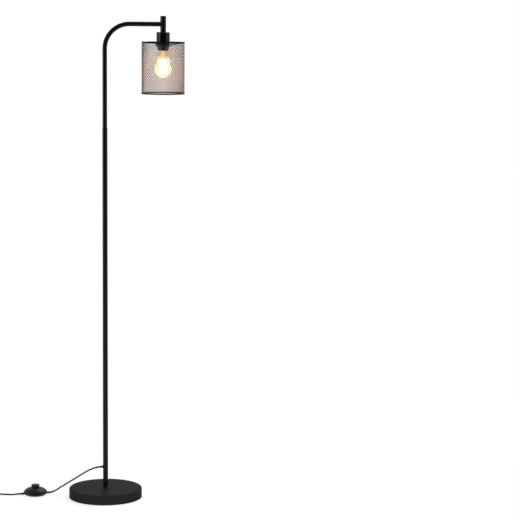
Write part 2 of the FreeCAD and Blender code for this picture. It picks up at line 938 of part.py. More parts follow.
def least_gap(path):
    """The least distance between the surfaces of turns that are over a quarter turn apart."""
    points = path.discretize(Number=coil_gap_samples)
    spacing = path.Length / (coil_gap_samples - 1)
    apart = int(math.pi / 2 * coil_radius / spacing)
    distances = (
        (points[i] - points[j]).Length for i in range(len(points)) for j in range(i + apart, len(points))
    )
    return min(distances) - cord_diameter


def make_cord_coil():
    path = coil_path()
    print(f"cord_coil least gap to itself {least_gap(path):.2f}")
    return many_sided_tube("cord_coil", path, cord_radius, coil_sides)


def coil_end():
    return coil_points()[-1] - Vector(cord_diameter, 0, 0)


def tail_points():
    end = coil_end()
    axis = plug_thickness / 2
    return [
        end,
        end + Vector(-18.6, 0, 0),
        Vector(coil_x - 50, coil_y + 36.5, 6.5),
        Vector(coil_x - 72, coil_y + 20, 3.2),
        Vector(coil_x - 78, coil_y - 4, axis),
        Vector(coil_x - 78, coil_y - 22, axis),
    ]


def make_cord_tail():
    """From the coil down to the plug beside it."""
    return free_cord("cord_tail", tail_points())


def make_cord_tie():
    """A flat strap round the bundle of turns, on the side away from the ends."""
    radii = [abs(p.y - coil_y) for p in coil_points()]
    inner = min(radii) - cord_radius - tie_gap
    outer = max(radii) - coil_pitch / 2 + cord_radius + tie_gap
    low = coil_base_z - cord_radius - tie_gap
    high = coil_base_z + coil_pitch + cord_radius + tie_gap

    def block(grow):
        return Part.makeBox(
            tie_width, outer - inner + 2 * grow, high - low + 2 * grow,
            Vector(coil_x - tie_width / 2, coil_y - outer - grow, low - grow),
        )

    strap = block(tie_thickness)
    corners = [e for e in strap.Edges if abs(e.tangentAt(e.FirstParameter).x) > 0.9]
    return strap.makeFillet(tie_thickness * 2, corners).cut(block(0.0))


def make_inner_lead():
    """The insulated cores as one round lead, from the cord's entry through pole and arm to the socket."""
    points = [
        Vector(grommet_face_x, 0, cord_exit_z),
        Vector(0, 0, cord_exit_z),
        Vector(0, 0, arm_axis_z),
        Vector(arm_reach, 0, arm_axis_z),
        Vector(arm_reach, 0, nipple_bottom_z - nipple_end_gap),
    ]
    path = rounded_path(points, [lead_bend_radius, arm_bend_radius, head_bend_radius])
    return many_sided_tube("inner_lead", path, lead_diameter / 2, free_cord_sides)


def make_cord_grommet():
    flange = Part.makeCylinder(
        grommet_flange_diameter / 2, pole_radius, Vector(grommet_face_x, 0, cord_exit_z), Vector(1, 0, 0)
    )
    pole = Part.makeCylinder(
        pole_radius, 2 * grommet_flange_diameter, Vector(0, 0, cord_exit_z - grommet_flange_diameter)
    )
    flange = flange.cut(pole)
    neck = Part.makeCylinder(
        grommet_neck_diameter / 2, grommet_flange_thickness + pole_wall + grommet_inside,
        Vector(grommet_face_x, 0, cord_exit_z), Vector(1, 0, 0),
    )
    bore = Part.makeCylinder(
        lead_diameter / 2 + press_clearance, pole_radius,
        Vector(grommet_face_x - cut_past, 0, cord_exit_z), Vector(1, 0, 0),
    )
    return flange.fuse(neck).cut(bore)


# ---- Foot switch ----
def placed_on_floor(solid):
    solid.rotate(Vector(0, 0, 0), Vector(0, 0, 1), switch_turn_degrees)
    solid.translate(Vector(switch_x, switch_y, 0))
    return solid


def screw_places():
    return [(0.0, switch_screw_circle), (0.0, -switch_screw_circle)]


def make_switch_base():
    """The lower half of the saucer, with the floor, screw posts and the cord's two noses."""
    foot = (switch_foot_radius, 0.0)
    shell = turned([
        (0.0, 0.0),
        foot,
        bowed(foot, (switch_radius, switch_split_z), switch_under_bulge),
        (switch_cavity_radius, switch_split_z),
        (switch_cavity_radius, switch_wall),
        (0.0, switch_wall),
    ])
    nose_start = switch_cavity_radius + switch_wall
    for side in (-1, 1):
        nose = Part.makeCylinder(
            switch_nose_radius, switch_nose_reach - nose_start,
            Vector(side * nose_start, 0, switch_cord_z), Vector(side, 0, 0),
        )
        shell = shell.fuse(nose)
    for x, y in screw_places():
        seat = screw_head_recess + screw_head_height
        shank_hole = screw_shank_radius + slip_clearance
        shell = shell.fuse(tube(switch_post_radius, 0.0, 0.0, switch_split_z, x, y))
        shell = shell.cut(tube(shank_hole, 0.0, -cut_past, switch_split_z + cut_past, x, y))
        shell = shell.cut(tube(screw_head_radius + slip_clearance, 0.0, -cut_past, seat, x, y))
    return placed_on_floor(shell.removeSplitter())


def make_switch_cover():
    """The domed upper half, with the button's bore and, under it, a ledge that stops its flange."""
    guide = button_radius + button_gap
    counterbore = guide + button_flange_width
    edge = (switch_radius, switch_split_z)
    screw_hole_top = screw_head_recess + screw_head_height + screw_length + screw_end_gap
    shell = turned([
        (guide, switch_ledge_z),
        (counterbore, switch_ledge_z),
        (counterbore, switch_cavity_top_z),
        (switch_cavity_radius, switch_cavity_top_z),
        (switch_cavity_radius, switch_split_z),
        edge,
        bowed(edge, (switch_collar_radius, switch_dome_z), switch_dome_bulge),
        (guide, switch_dome_z),
    ])
    post_top = switch_cavity_top_z + cut_past
    hole_radius = screw_shank_radius + press_clearance
    for x, y in screw_places():
        shell = shell.fuse(tube(switch_post_radius, 0.0, switch_split_z, post_top, x, y))
        shell = shell.cut(tube(hole_radius, 0.0, switch_split_z - cut_past, screw_hole_top, x, y))
    return placed_on_floor(shell.removeSplitter())


def make_switch_button():
    """A hollow push cap with a flared, soft-edged, crowned top and a flange that keeps it in."""
    top = button_top_z
    edge_top = top - button_crown
    crown_edge = button_radius + button_flare - button_edge_radius
    crown_radius = (crown_edge ** 2 + button_crown ** 2) / 2 / button_crown
    crown_centre = top - crown_radius
    crown_turn = math.asin(crown_edge / crown_radius)
    outer = button_radius + button_flare
    flange = button_radius + button_flange_width
    flange_top = switch_ledge_z - button_stop_gap
    bottom = flange_top - button_flange_height
    return placed_on_floor(turned([
        (0.0, top - button_wall),
        (button_radius - button_wall, top - button_wall),
        (button_radius - button_wall, bottom),
        (flange, bottom),
        (flange, flange_top),
        (button_radius, flange_top),
        (button_radius, switch_dome_z + button_travel + button_gap),
        (outer, edge_top - button_edge_radius - button_rim_height),
        (outer, edge_top - button_edge_radius),
        rounded_top_edge(outer, edge_top, button_edge_radius),
        ((crown_radius * math.sin(crown_turn / 2), crown_centre + crown_radius * math.cos(crown_turn / 2)),
         (0.0, top)),
    ]))


def make_switch_contact_block():
    return placed_on_floor(tube(contact_block_radius, 0.0, switch_wall, contact_block_top_z))


def make_switch_spring():
    low = contact_block_top_z
    high = button_top_z - button_wall - slip_clearance
    return placed_on_floor(tube(spring_radius, spring_radius - spring_wire, low, high))


def make_switch_terminals():
    """Brass clamp blocks beside the contact block, one towards each cord."""
    blocks = []
    for side in (-1, 1):
        for lane in (-1, 1):
            centre_x = side * (contact_block_radius + terminal_gap + terminal_length / 2)
            corner = Vector(
                centre_x - terminal_length / 2, lane * terminal_lane - terminal_width / 2, switch_wall
            )
            block = Part.makeBox(terminal_length, terminal_width, terminal_height, corner)
            blocks.append(placed_on_floor(block))
    return blocks


def make_switch_screws():
    screws = []
    seat = screw_head_recess + screw_head_height
    for x, y in screw_places():
        screw = turned([
            (0.0, screw_head_recess),
            (screw_head_radius, screw_head_recess),
            (screw_head_radius, seat),
            (screw_shank_radius, seat),
            (screw_shank_radius, seat + screw_length),
            (0.0, seat + screw_length),
        ], x, y)
        screws.append(placed_on_floor(screw))
    return screws


# ---- Plug: flat two-pin, lying on the floor with its pins along -Y ----
def plug_parts():
    rear = tail_points()[-1]
    axis = rear.z
    body_rear = rear.y - boot_length
    shoulder = body_rear - plug_taper
    front = shoulder - plug_straight
    boot = Part.makeCone(boot_rear_radius, boot_front_radius, boot_length, rear, Vector(0, -1, 0))
    half = plug_width / 2
    narrow = plug_rear_width / 2
    outline = [
        Vector(rear.x - narrow, body_rear, 0),
        Vector(rear.x - half, shoulder, 0),
        Vector(rear.x - half, front, 0),
        Vector(rear.x + half, front, 0),
        Vector(rear.x + half, shoulder, 0),
        Vector(rear.x + narrow, body_rear, 0),
    ]
    body = Part.Face(Part.makePolygon(outline + outline[:1])).extrude(Vector(0, 0, plug_thickness))
    ends = (front, body_rear)
    long_edges = [
        edge for edge in body.Edges if min(abs(edge.CenterOfMass.y - end) for end in ends) > plug_edge
    ]
    body = body.makeFillet(plug_edge, long_edges)
    pins = []
    for side in (-1, 1):
        foot = Vector(rear.x + side * pin_spacing / 2, front, axis)
        start = foot + Vector(0, cut_past, 0)
        pin = Part.makeCylinder(pin_radius, pin_length + cut_past, start, Vector(0, -1, 0))
        pin.rotate(foot, Vector(0, 0, 1), -side * pin_lean_degrees)
        pins.append(pin.cut(Part.makeBox(plug_width, plug_straight, plug_thickness, outline[2])))
    return boot, body, pins


# ---- Write every piece ----
save("base_pad", make_base_pad())
save("base_weight", make_base_weight())
save("base_cover", make_base_cover())
save("base_washer", make_base_washer())
save("base_nut", make_base_nut())
save("base_nipple", make_base_nipple())
save("foot_collar", make_foot_collar())

for section_name, section in zip(pole_sections, make_pole_sections()):
    save(section_name, section)
save("threaded_sleeves", *make_threaded_sleeves())
save("threaded_studs", *make_threaded_studs())
save("joint_collar", make_joint_collar())
save("arm_tube", make_arm_tube())

save("hanger_tube", make_hanger_tube())
save("hanger_cap", make_hanger_cap())
save("hanger_insert", make_hanger_insert())
save("head_nipple", make_head_nipple())
save("cup_locknut", make_cup_locknut())
save("socket_cup", make_socket_cup())
save("socket_body", make_socket_body())
save("socket_screw_shell", make_socket_screw_shell())
save("socket_contact", make_socket_contact())
save("shade_ring_nut", make_shade_ring_nut())

save("shade_spider", make_shade_spider())
shade_top_rim, shade_bottom_rim = make_rims()
save("shade_top_rim", shade_top_rim)
save("shade_bottom_rim", shade_bottom_rim)
save("shade_mesh", make_shade_mesh())

save("bulb_glass", make_bulb_glass())
save("bulb_cap", make_bulb_cap())
bulb_insulator, bulb_contact = make_bulb_contact()
save("bulb_insulator", bulb_insulator)
save("bulb_contact", bulb_contact)
save("bulb_stem", make_bulb_stem())
save("bulb_filaments", *make_bulb_filaments())

save("cord_grommet", make_cord_grommet())
save("inner_lead", make_inner_lead())
save("cord_lead", make_cord_lead())
save("cord_run", make_cord_run())
save("cord_coil", make_cord_coil())
save("cord_tail", make_cord_tail())
save("cord_tie", make_cord_tie())

save("switch_base", make_switch_base())
save("switch_cover", make_switch_cover())
save("switch_button", make_switch_button())
save("switch_spring", make_switch_spring())
save("switch_contact_block", make_switch_contact_block())
save("switch_terminals", *make_switch_terminals())
save("switch_screws", *make_switch_screws())

plug_boot, plug_body, plug_pins = plug_parts()
save("plug_boot", plug_boot)
save("plug_body", plug_body)
save("plug_pins", *plug_pins)
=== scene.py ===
# %% [markdown]
# # A floor lamp with a hanging wire cage
#
# The frame holds every tube, nut, rim and screw at its real size, so nothing is moved or resized here.
# This lesson adds what the eye looks for: the finish of each surface, the cord as one smooth line, the
# fine mesh of the cage and a bulb that is lit. Each step says what the thing is, how it could be made, and
# why one way was chosen. Places and sizes are in metres, unless a name says mm, and angles in degrees.

import math

import bmesh
import bpy
from mathutils import Matrix, Vector


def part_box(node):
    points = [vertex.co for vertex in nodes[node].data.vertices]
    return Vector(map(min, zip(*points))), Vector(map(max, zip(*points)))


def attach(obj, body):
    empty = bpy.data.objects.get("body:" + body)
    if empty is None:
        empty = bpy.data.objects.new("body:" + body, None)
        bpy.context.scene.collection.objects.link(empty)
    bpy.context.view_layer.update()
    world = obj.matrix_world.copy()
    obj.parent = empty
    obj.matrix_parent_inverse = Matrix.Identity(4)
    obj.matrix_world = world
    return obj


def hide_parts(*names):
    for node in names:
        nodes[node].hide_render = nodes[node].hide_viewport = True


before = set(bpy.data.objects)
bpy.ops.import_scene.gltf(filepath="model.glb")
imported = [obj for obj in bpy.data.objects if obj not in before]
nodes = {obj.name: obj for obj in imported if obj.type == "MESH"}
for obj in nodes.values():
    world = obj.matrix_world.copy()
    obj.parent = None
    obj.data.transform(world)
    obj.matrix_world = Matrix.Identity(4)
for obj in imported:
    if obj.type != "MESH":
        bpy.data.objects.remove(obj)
for startup_object in ("Cube", "Light", "Camera"):
    if startup_object in bpy.data.objects:
        bpy.data.objects.remove(bpy.data.objects[startup_object])
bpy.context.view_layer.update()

# %% [markdown]
# ## The camera
#
# The picture fits a long lens a little above the cage, turned slightly to the right, so that the lamp
# stands in the left third. The place and the angles were found from where the pole, the arm, the cage and
# the base fall in the picture. A long lens keeps the pole's sides parallel, and no shift is used, so every
# other view keeps its framing.

# %% Camera
camera_place = Vector((-0.114, -6.7, 1.70))
camera_turned_right = 5.483
camera_tilted_down = 7.430
camera_rolled = 0.465
lens_mm = 137.14
sensor_mm = 36.0


def added(name, data):
    """An object with this data, linked into the scene."""
    thing = bpy.data.objects.new(name, data)
    bpy.context.scene.collection.objects.link(thing)
    return thing


camera_data = bpy.data.cameras.new("camera")
camera_data.lens = lens_mm
camera_data.sensor_width = sensor_mm
camera_data.clip_end = 100.0
camera = added("camera", camera_data)
camera.matrix_world = (
    Matrix.Translation(camera_place)
    @ Matrix.Rotation(math.radians(-camera_turned_right), 4, "Z")
    @ Matrix.Rotation(math.radians(90 - camera_tilted_down), 4, "X")
    @ Matrix.Rotation(math.radians(camera_rolled), 4, "Z")
)
bpy.context.scene.camera = camera
print("camera", [round(x, 3) for x in camera_place], "lens", lens_mm)

# %% [markdown]
# ## The cord
#
# A mains cord is a fixed length of soft plastic tube with copper inside. It could be a mesh swept by hand,
# but a curve is better: a few control points give one smooth line, and its bevel gives the thickness. The
# points are the route of the solid cord in the frame, but for three of the lead's, which stand a little
# higher, as the picture shows it. The cord is in two stretches, because the foot switch sits between them.
#
# The spare length is wound into a round coil beside the view, in two layers: in along the floor, then out
# again on top. The coil's turns are worked out by a loop, half a turn at a time.

# %% Cord sizes and the switch's own frame
cord_diameter = 0.0054
switch_place = Vector((-0.2415, 0.042, 0.0))
switch_turn = math.radians(8.0)
switch_nose_reach = 0.0426
switch_cord_height = 0.006


def on_switch(along, across, height):
    """A point given in the foot switch's own frame."""
    x = along * math.cos(switch_turn) - across * math.sin(switch_turn)
    y = along * math.sin(switch_turn) + across * math.cos(switch_turn)
    return switch_place + Vector((x, y, height))


def flex(name, points):
    """A cord as one open spline with these control points.

    The thickness is each point's radius times the bevel's depth. It is written as the radius, because a
    curve's box is measured with it.
    """
    data = bpy.data.curves.new(name, "CURVE")
    data.dimensions = "3D"
    spline = data.splines.new("NURBS")
    spline.points.add(len(points) - 1)
    for control, point in zip(spline.points, points):
        control.co = (*point, 1.0)
        control.radius = cord_diameter / 2
    spline.order_u = 3
    spline.use_endpoint_u = True
    spline.resolution_u = 8
    data.bevel_depth = 1.0
    data.bevel_resolution = 4
    data.use_fill_caps = True
    cord = added(name, data)
    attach(cord, "lamp")
    print(name, "points", len(points))
    return cord


# %% The lead from the pole down to the foot switch
cord_exit_height = 0.106
grommet_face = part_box("cord_grommet")[0].x
lead_route = [
    Vector((grommet_face, 0, cord_exit_height)),
    Vector((-0.028, 0, cord_exit_height)),
    Vector((-0.060, 0.005, 0.093)),
    Vector((-0.097, 0.0205, 0.066)),
    Vector((-0.132, 0.037, 0.0405)),
    Vector((-0.156, 0.047, 0.024)),
    Vector((-0.172, 0.051, 0.012)),
    on_switch(switch_nose_reach + 0.013, 0, switch_cord_height),
    on_switch(switch_nose_reach, 0, switch_cord_height),
]
lead_flex = flex("lead_flex", lead_route)

# %% The coil, half a turn at a time
coil_centre = Vector((-0.425, 0.008, 0.0))
coil_radius = 0.042
coil_pitch = 0.0059
coil_half_turns = 7
coil_floor_height = 0.0037
coil_turnback_inset = 0.001
points_per_half_turn = 8
pulled_in = math.cos(math.pi / points_per_half_turn / 2)


def coil_crossings():
    """Where the turns cross the line through the coil's middle: in on the floor, out on top."""
    inwards = [coil_radius - coil_pitch / 2 * k for k in range(coil_half_turns + 1)]
    inwards[-1] -= coil_turnback_inset
    layers = [(r, coil_floor_height) for r in inwards]
    layers += [(r, coil_floor_height + coil_pitch) for r in inwards[:0:-1]]
    return [coil_centre + Vector((0, r * (-1) ** k, z)) for k, (r, z) in enumerate(layers)]


def coil_route():
    """Control points of the turns, set out a little so that the smooth line has the coil's radius."""
    crossings = coil_crossings()
    route = []
    for k, (here, there) in enumerate(zip(crossings, crossings[1:])):
        middle = (here + there) / 2
        half = (here - there) / 2
        bulge = Vector((half.length * (-1 if k % 2 == 0 else 1), 0, 0))
        for step in range(points_per_half_turn):
            angle = math.pi * step / points_per_half_turn
            offset = half * math.cos(angle) + bulge * math.sin(angle)
            offset.x /= pulled_in
            offset.y /= pulled_in
            route.append(middle + offset)
    return route + [crossings[-1]]


# %% The main cord: from the switch into the coil and out to the plug
plug_axis_height = (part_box("plug_body")[0].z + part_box("plug_body")[1].z) / 2
coil_out = coil_crossings()[-1] - Vector((cord_diameter, 0, 0))
main_route = [
    on_switch(-switch_nose_reach, 0, switch_cord_height),
    on_switch(-switch_nose_reach - 0.016, 0, switch_cord_height),
    Vector((-0.323, 0.037, 0.0029)),
    Vector((-0.354, 0.046, 0.0029)),
    Vector((-0.392, coil_centre.y + coil_radius, coil_floor_height)),
    Vector((coil_centre.x + cord_diameter, coil_centre.y + coil_radius, coil_floor_height)),
    *coil_route(),
    coil_out,
    coil_out + Vector((-0.0186, 0, 0)),
    coil_centre + Vector((-0.050, 0.0365, 0.0065)),
    coil_centre + Vector((-0.072, 0.020, 0.0032)),
    coil_centre + Vector((-0.078, -0.004, plug_axis_height)),
    coil_centre + Vector((-0.078, -0.022, plug_axis_height)),
]
main_flex = flex("main_flex", main_route)

# %% [markdown]
# ## Strain reliefs
#
# Where a cord leaves a housing, a soft tapered sleeve keeps it from bending sharply at the edge. It has
# slits, so that it bends easily. A straight cone would not follow the cord, so each sleeve is a row of
# circles on points that are read back from the cord's own smooth line, bridged into one skin. At a slit, two
# smaller circles stand between two of full size.

# %% Read a cord's line back as points
def line_of(cord):
    """The points that the cord's smooth line goes through, from its exit to its far end."""
    bare = cord.data.copy()
    bare.bevel_depth = 0.0
    bare_object = added("bare_line", bare)
    mesh = bpy.data.meshes.new_from_object(bare_object)
    points = [vertex.co.copy() for vertex in mesh.vertices]
    bpy.data.objects.remove(bare_object)
    bpy.data.curves.remove(bare)
    bpy.data.meshes.remove(mesh)
    return points


def along_line(points, distance):
    """The point at this distance along the line, and the way it heads there."""
    for here, there in zip(points, points[1:]):
        step = (there - here).length
        if distance <= step:
            return here + (there - here) * (distance / step), (there - here).normalized()
        distance -= step
    return points[-1].copy(), (points[-1] - points[-2]).normalized()


lead_line = line_of(lead_flex)
main_line = line_of(main_flex)
print("points on the lines", len(lead_line), len(main_line))

# %% Pieces from a bmesh
def as_object(name, mesh):
    """A bmesh as an object in the scene."""
    data = bpy.data.meshes.new(name)
    mesh.to_mesh(data)
    mesh.free()
    return added(name, data)


def finished(name, mesh, sharp_over):
    """A bmesh as a piece of the lamp, smooth but for edges that turn by more than so many degrees."""
    piece = as_object(name, mesh)
    piece.data.shade_smooth()
    piece.data.set_sharp_from_angle(angle=math.radians(sharp_over))
    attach(piece, "lamp")
    print(name, "faces", len(piece.data.polygons))
    return piece


# %% A skin over rings
def ring_of_edges(mesh, place, heading, radius, sides):
    """Draws a circle that faces along the heading, and returns its edges."""
    turn = heading.to_track_quat("Z", "X").to_matrix().to_4x4()
    circle = bmesh.ops.create_circle(
        mesh, segments=sides, radius=radius, matrix=Matrix.Translation(place) @ turn
    )
    return list({edge for vertex in circle["verts"] for edge in vertex.link_edges})


def bridge_rings(mesh, rings, followers):
    """Bridges each ring to its follower, and turns the skin's faces outwards."""
    for ring, follower in zip(rings, followers):
        bmesh.ops.bridge_loops(mesh, edges=ring + follower)
    bmesh.ops.recalc_face_normals(mesh, faces=mesh.faces)


# %% Slit sleeves
sleeve_length = 0.022
sleeve_sides = 24
sleeve_slits = 5
sleeve_end_radius = 0.00295
pole_sleeve_radius = 0.0036
switch_sleeve_radius = 0.00355
slit_depth = 0.0005
# The circles of one slit: how far from its middle, in shares of the pitch, and how much smaller.
slit_circles = ((-0.18, 0.0), (-0.12, slit_depth), (0.12, slit_depth), (0.18, 0.0))


def slit_sleeve(name, line, wide_radius):
    """A tapered sleeve with slits, along the first stretch of a cord's line."""
    stations = [(0.0, cord_diameter / 2), (0.0, wide_radius)]
    pitch = sleeve_length / (sleeve_slits + 1)
    for k in range(1, sleeve_slits + 1):
        radius = wide_radius + (sleeve_end_radius - wide_radius) * k / (sleeve_slits + 1)
        stations += [(pitch * (k + share), radius - depth) for share, depth in slit_circles]
    stations += [(sleeve_length, sleeve_end_radius), (sleeve_length, cord_diameter / 2)]
    mesh = bmesh.new()
    rings = []
    for distance, radius in stations:
        place, heading = along_line(line, distance)
        rings.append(ring_of_edges(mesh, place, heading, radius, sleeve_sides))
    bridge_rings(mesh, rings, rings[1:])
    return finished(name, mesh, sharp_over=50.0)


pole_relief = slit_sleeve("pole_relief", lead_line, pole_sleeve_radius)
switch_relief_lead = slit_sleeve(
    "switch_relief_lead", lead_line[::-1], switch_sleeve_radius
)
switch_relief_main = slit_sleeve("switch_relief_main", main_line, switch_sleeve_radius)

# %% [markdown]
# ## The cage
#
# The shade is expanded metal: a sheet is slit and pulled open, so that it becomes one net of diamonds with
# no loose wires, and then it is rolled into a drum. A wire for each strand would need thousands of tubes
# that cross inside each other. Instead a flat grid is poked, which puts a cross into every square, and it
# is bent round. The squares' own edges are dissolved, and diamonds are left. Each diamond is inset, its
# middle is taken out, and the net gets its thickness.
#
# The real net has about 78 diamonds round and 16 up, each 5.9 by 10.5 mm, which melt into an even grey at
# this distance. So it is drawn with fewer and wider ones, 52 round and 18 up, and with strands a little
# wider than the real 0.9 to 1 mm. In a full render the lattice then shows from the front. With few samples,
# and from some other sides, it can still look like an even grey.

# %% The diamond net
cage_columns = 52
cage_rows = 18
strand_width = 0.00115
strand_thickness = 0.0007
cage_inset = 0.0008
tucked_into_rim = 0.0003
flat_sheet_half = 0.5
seam_closed_within = 0.00005
mm_per_metre = 1000.0


def make_cage():
    """The net as a drum of diamonds that reaches from one rim to the other."""
    rim_low, rim_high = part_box("shade_bottom_rim")
    middle_x = (rim_low.x + rim_high.x) / 2
    radius = (rim_high.x - rim_low.x) / 2 - cage_inset
    low = rim_high.z - tucked_into_rim
    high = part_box("shade_top_rim")[0].z + tucked_into_rim
    mesh = bmesh.new()
    bmesh.ops.create_grid(mesh, x_segments=cage_columns, y_segments=cage_rows, size=flat_sheet_half)
    crossings = set(bmesh.ops.poke(mesh, faces=mesh.faces)["verts"])
    for vertex in mesh.verts:
        angle = math.pi * (1 + 2 * (vertex.co.x + flat_sheet_half))
        height = low + (high - low) * (vertex.co.y + flat_sheet_half)
        vertex.co = (middle_x + radius * math.cos(angle), radius * math.sin(angle), height)
    at_corners = [v for v in mesh.verts if v not in crossings]
    bmesh.ops.remove_doubles(mesh, verts=at_corners, dist=seam_closed_within)
    square_edges = [
        edge for edge in mesh.edges
        if not edge.is_boundary and not crossings.intersection(edge.verts)
    ]
    bmesh.ops.dissolve_edges(mesh, edges=square_edges, use_verts=False)
    diamonds = list(mesh.faces)
    bmesh.ops.inset_individual(mesh, faces=diamonds, thickness=strand_width / 2, use_even_offset=True)
    bmesh.ops.delete(mesh, geom=diamonds, context="FACES_ONLY")
    bmesh.ops.recalc_face_normals(mesh, faces=mesh.faces)
    bmesh.ops.solidify(mesh, geom=mesh.faces, thickness=strand_thickness)
    diamond_width = mm_per_metre * 2 * math.pi * radius / cage_columns
    diamond_height = mm_per_metre * (high - low) / cage_rows
    print("diamonds", len(diamonds), "mm", round(diamond_width, 2), "by", round(diamond_height, 2))
    return finished("wire_cage", mesh, sharp_over=20.0)


wire_cage = make_cage()
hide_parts("shade_mesh")

# %% [markdown]
# ## The bulb
#
# The bulb is a pear-shaped envelope of thin glass round a stem with slanted filaments. Its outline is three
# arcs: a round end, a hollow curve that leads up from it, and a shoulder close under the socket, which
# turns in to the neck. Only that outline is drawn, and then it is spun round the bulb's axis. The wall
# comes from a Solidify modifier. The frame's own glass has a narrower shoulder, because this one was found
# late, from the amber patches that the picture shows on both sides of the neck.

# %% Outlines and spinning
poles_closed_within = 0.000001


def arc(middle, radius, start, end, count):
    """Points (r, z) on an arc from one angle to another, in degrees, with both its ends."""
    angles = [math.radians(start + (end - start) * k / (count - 1)) for k in range(count)]
    return [(middle[0] + radius * math.cos(a), middle[1] + radius * math.sin(a)) for a in angles]


def spun(outline, axis_place, steps):
    """A bmesh of an outline of (r, z) points, spun round an upright axis."""
    mesh = bmesh.new()
    corners = [mesh.verts.new((axis_place.x + r, axis_place.y, z)) for r, z in outline]
    edges = [mesh.edges.new(pair) for pair in zip(corners, corners[1:])]
    bmesh.ops.spin(
        mesh, geom=corners + edges, cent=(axis_place.x, axis_place.y, 0), axis=(0, 0, 1),
        angle=2 * math.pi, steps=steps, use_merge=True,
    )
    bmesh.ops.remove_doubles(mesh, verts=mesh.verts, dist=poles_closed_within)
    bmesh.ops.recalc_face_normals(mesh, faces=mesh.faces)
    return mesh


# %% The glass envelope
bulb_flare = 30.0
bulb_neck_radius = 0.0124
bulb_shoulder_radius = 0.0215
bulb_shoulder_below_socket = 0.001
glass_wall = 0.0009
round_end_points = 26
bend_points = 8
bulb_steps = 64
envelope_low, envelope_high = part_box("bulb_glass")
bulb_radius = (envelope_high.x - envelope_low.x) / 2
bulb_axis = Vector(((envelope_high.x + envelope_low.x) / 2, 0, 0))
bulb_middle_height = envelope_low.z + bulb_radius
socket_mouth_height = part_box("socket_body")[0].z


def make_envelope():
    """The glass, from its round end up through the shoulder to the neck."""
    flare = math.radians(bulb_flare)
    swing = (bulb_radius * math.cos(flare) - bulb_shoulder_radius) / (1 - math.cos(flare))
    hollow_end = bulb_middle_height + (bulb_radius + swing) * math.sin(flare)
    shoulder = bulb_shoulder_radius - bulb_neck_radius
    shoulder_start = socket_mouth_height - bulb_shoulder_below_socket - shoulder
    hollow_middle = (bulb_shoulder_radius + swing, hollow_end)
    outline = arc((0, bulb_middle_height), bulb_radius, -90, bulb_flare, round_end_points)
    outline += arc(hollow_middle, swing, 180 + bulb_flare, 180, bend_points)[1:]
    outline += arc((bulb_neck_radius, shoulder_start), shoulder, 0, 90, bend_points)
    outline.append((bulb_neck_radius, envelope_high.z))
    mesh = spun(outline, bulb_axis, bulb_steps)
    piece = finished("bulb_envelope", mesh, sharp_over=60.0)
    wall = piece.modifiers.new("wall", "SOLIDIFY")
    wall.thickness = glass_wall
    wall.offset = -1.0
    return piece


bulb_envelope = make_envelope()
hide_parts("bulb_glass")

# %% [markdown]
# ## The weld at the head
#
# On such a lamp the arm's end is cut to fit the hanger's round side and is welded all round. Under paint a
# weld shows as a small even fillet. It follows the line where two tubes meet, which is a saddle, so its
# points are worked out from the radii of both tubes. Circles on those points are bridged into a closed ring.

# %% The weld bead
weld_radius = 0.0014
weld_steps = 32
weld_sides = 12
arm_low, arm_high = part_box("arm_tube")
hanger_low, hanger_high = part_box("hanger_tube")
arm_radius = (arm_high.y - arm_low.y) / 2
arm_axis_height = arm_high.z - arm_radius
hanger_radius = (hanger_high.y - hanger_low.y) / 2
hanger_axis_x = (hanger_high.x + hanger_low.x) / 2


def weld_place(angle):
    """The point of the saddle at this angle round the arm."""
    across = arm_radius * math.cos(angle)
    back = math.sqrt(hanger_radius ** 2 - across ** 2)
    return Vector((hanger_axis_x - back, across, arm_axis_height + arm_radius * math.sin(angle)))


def make_weld():
    """The bead, as a closed ring of circles along the saddle."""
    places = [weld_place(2 * math.pi * k / weld_steps) for k in range(weld_steps)]
    mesh = bmesh.new()
    rings = []
    for k, place in enumerate(places):
        heading = places[(k + 1) % weld_steps] - places[k - 1]
        rings.append(ring_of_edges(mesh, place, heading, weld_radius, weld_sides))
    bridge_rings(mesh, rings, rings[1:] + rings[:1])
    return finished("weld_bead", mesh, sharp_over=60.0)


make_weld()
print("arm axis", round(arm_axis_height, 4), "hanger axis", round(hanger_axis_x, 4))

# %% [markdown]
# ## The plug's boot
#
# A moulded plug ends in a soft ribbed boot that guards the cord. It is a turned shape, so one side of it is
# drawn, rib by rib, spun upright and then laid along the cord's last stretch.

# %% The ribbed boot
boot_ribs = 6
boot_rib_depth = 0.0008
boot_wall = 0.0010
boot_steps = 32
# Where a rib rises and falls, in shares of the pitch.
rise_start = 0.35
rise_end = 0.45
fall_start = 0.85
fall_end = 0.95
boot_low, boot_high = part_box("plug_boot")


def make_boot():
    """The boot, narrow at the cord and as wide as the frame's own at the plug."""
    length = boot_high.y - boot_low.y
    pitch = length / boot_ribs
    narrow = cord_diameter / 2 + boot_wall
    wide = (boot_high.x - boot_low.x) / 2
    outline = [(cord_diameter / 2, 0.0)]
    for k in range(boot_ribs):
        crest = narrow + (wide - narrow) * (k + 1) / boot_ribs
        foot = crest - boot_rib_depth
        outline += [
            (foot, pitch * k), (foot, pitch * (k + rise_start)), (crest, pitch * (k + rise_end)),
            (crest, pitch * (k + fall_start)), (foot, pitch * (k + fall_end)),
        ]
    outline += [(foot, length), (cord_diameter / 2, length), outline[0]]
    mesh = spun(outline, Vector((0, 0, 0)), boot_steps)
    cord_end = Vector(((boot_low.x + boot_high.x) / 2, boot_high.y, (boot_low.z + boot_high.z) / 2))
    laid = Matrix.Translation(cord_end) @ Matrix.Rotation(math.radians(90), 4, "X")
    bmesh.ops.transform(mesh, matrix=laid, verts=mesh.verts)
    return finished("ribbed_boot", mesh, sharp_over=50.0)


ribbed_boot = make_boot()
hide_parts("plug_boot")

